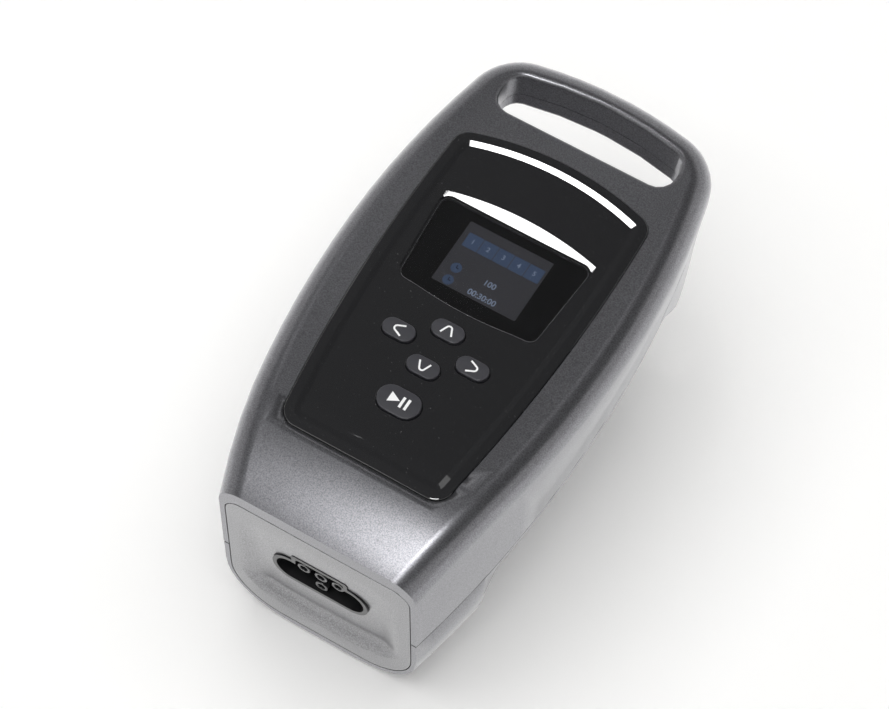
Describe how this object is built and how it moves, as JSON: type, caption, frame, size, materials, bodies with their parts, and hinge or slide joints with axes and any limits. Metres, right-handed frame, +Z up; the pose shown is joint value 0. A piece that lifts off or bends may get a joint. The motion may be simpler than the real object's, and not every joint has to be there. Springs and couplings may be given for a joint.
{
  "type": "compression therapy pump",
  "caption": "Hand-carried air pump for compression sleeves: wedge housing with a through handle, screen and keys on an inlaid fascia, and a dished front with a keyed air port.",
  "frame": {"origin": "on the table under the middle of the length and width", "axes": "+Z up, -Y towards the front plate with the air port, +Y towards the handle, +X to the right for someone who faces along +Y"},
  "size_m": [0.1344, 0.2419, 0.113],
  "materials": {
    "housing_paint": "satin gunmetal metallic paint on moulded ABS",
    "plate_paint": "satin gunmetal metallic paint on moulded ABS",
    "fascia_gloss": "polished black",
    "window_gloss": "smoked, polished",
    "key_satin": "satin dark grey with printed white symbols",
    "display": "liquid crystal panel",
    "white_plastic": "moulded",
    "black_plastic": "fine satin",
    "nozzle_plastic": "satin dark grey",
    "board_green": "solder mask",
    "component_black": "moulded",
    "plain_steel": "plated",
    "pump_cast": "die cast",
    "soft_rubber": "matte",
    "hose_silicone": "translucent silicone",
    "battery_wrap": "shrink wrap"
  },
  "bodies": {
    "housing": {"upper_housing": "housing_paint", "lower_housing": "housing_paint", "front_plate": "plate_paint", "port_socket": "black_plastic", "nozzle_left": "nozzle_plastic", "nozzle_middle": "nozzle_plastic", "nozzle_right": "nozzle_plastic", "nozzle_lower": "nozzle_plastic", "control_fascia": "fascia_gloss", "screen_window": "window_gloss", "display_panel": "display", "display_frame": "white_plastic", "control_board": "board_green", "key_switches": "component_black", "board_screws": "plain_steel", "main_board": "board_green", "main_board_parts": "component_black", "pump_motor": "plain_steel", "pump_head": "pump_cast", "pump_cushion": "soft_rubber", "supply_hose": "hose_silicone", "air_manifold": "white_plastic", "air_tubes": "hose_silicone", "valve_bodies": "plain_steel", "battery_pack": "battery_wrap", "battery_strap": "plain_steel", "power_inlet": "black_plastic", "rubber_feet": "soft_rubber", "case_screws": "plain_steel"},
    "left_key": {"key_left": "key_satin"},
    "right_key": {"key_right": "key_satin"},
    "up_key": {"key_up": "key_satin"},
    "down_key": {"key_down": "key_satin"},
    "start_key": {"key_start": "key_satin"},
    "rotor": {"motor_shaft": "plain_steel"},
    "plunger_1": {"valve_plunger_1": "plain_steel"},
    "plunger_2": {"valve_plunger_2": "plain_steel"},
    "plunger_3": {"valve_plunger_3": "plain_steel"},
    "plunger_4": {"valve_plunger_4": "plain_steel"}
  },
  "joints": [
    {"name": "left_key_press", "type": "slide", "parent": "housing", "child": "left_key", "axis": [0, 0, -1], "range_m": [0, 0.0009], "stiffness_N_per_m": 1500},
    {"name": "right_key_press", "type": "slide", "parent": "housing", "child": "right_key", "axis": [0, 0, -1], "range_m": [0, 0.0009], "stiffness_N_per_m": 1500},
    {"name": "up_key_press", "type": "slide", "parent": "housing", "child": "up_key", "axis": [0, 0, -1], "range_m": [0, 0.0009], "stiffness_N_per_m": 1500},
    {"name": "down_key_press", "type": "slide", "parent": "housing", "child": "down_key", "axis": [0, 0, -1], "range_m": [0, 0.0009], "stiffness_N_per_m": 1500},
    {"name": "start_key_press", "type": "slide", "parent": "housing", "child": "start_key", "axis": [0, 0, -1], "range_m": [0, 0.0009], "stiffness_N_per_m": 1500},
    {"name": "rotor_spin", "type": "hinge", "parent": "housing", "child": "rotor", "pos_m": [0, 0.005, 0.06], "axis": [0, 1, 0], "continuous": true},
    {"name": "plunger_1_stroke", "type": "slide", "parent": "housing", "child": "plunger_1", "axis": [0, -1, 0], "range_m": [0, 0.0012], "stiffness_N_per_m": 400},
    {"name": "plunger_2_stroke", "type": "slide", "parent": "housing", "child": "plunger_2", "axis": [0, -1, 0], "range_m": [0, 0.0012], "stiffness_N_per_m": 400},
    {"name": "plunger_3_stroke", "type": "slide", "parent": "housing", "child": "plunger_3", "axis": [0, -1, 0], "range_m": [0, 0.0012], "stiffness_N_per_m": 400},
    {"name": "plunger_4_stroke", "type": "slide", "parent": "housing", "child": "plunger_4", "axis": [0, -1, 0], "range_m": [0, 0.0012], "stiffness_N_per_m": 400}
  ]
}
